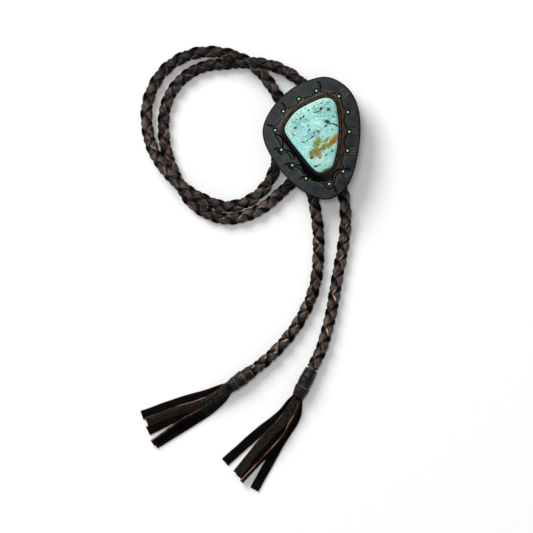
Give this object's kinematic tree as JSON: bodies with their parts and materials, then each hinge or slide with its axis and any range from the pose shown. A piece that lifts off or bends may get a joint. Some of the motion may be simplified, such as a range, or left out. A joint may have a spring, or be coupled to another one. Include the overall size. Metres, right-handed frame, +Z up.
{
  "type": "bolo tie",
  "caption": "Bolo tie laid flat: stone-set leather slide on a braided leather cord folded in a neck loop, with wrapped leather tassels on both tails.",
  "frame": {"origin": "on the surface that the tie lies on, under the middle of the box round the slide, wraps and tassels", "axes": "+Z up from the surface, out of the stone's face; +Y along the tie from the tassels to the slide; +X across the tie, to the right when seen from above"},
  "size_m": [0.132, 0.267, 0.0264],
  "materials": {
    "black_leather": "matt black hand-dyed leather with tooled stamps",
    "rim_leather": "burnished dark brown leather edge",
    "turquoise": "polished pale turquoise with brown and ochre matrix",
    "green_enamel": "gloss pale green enamel",
    "clip_steel": "plain brushed steel",
    "braided_leather": "dark brown-black braided lace with tan cut edges",
    "wrap_leather": "smooth dark leather with reddish cut edges",
    "strip_leather": "dark leather strips, suede on one face, tan cut edges"
  },
  "bodies": {
    "root": {"slide_leather": "black_leather", "stone_rim": "rim_leather", "stone": "turquoise", "stud_01": "green_enamel", "stud_02": "green_enamel", "stud_03": "green_enamel", "stud_04": "green_enamel", "stud_05": "green_enamel", "stud_06": "green_enamel", "stud_07": "green_enamel", "stud_08": "green_enamel", "stud_09": "green_enamel", "stud_10": "green_enamel", "stud_11": "green_enamel", "stud_12": "green_enamel", "stud_13": "green_enamel", "cord_clip": "clip_steel", "cord": "braided_leather", "wrap_left": "wrap_leather", "wrap_right": "wrap_leather", "tassel_left": "strip_leather", "tassel_right": "strip_leather"}
  },
  "joints": []
}
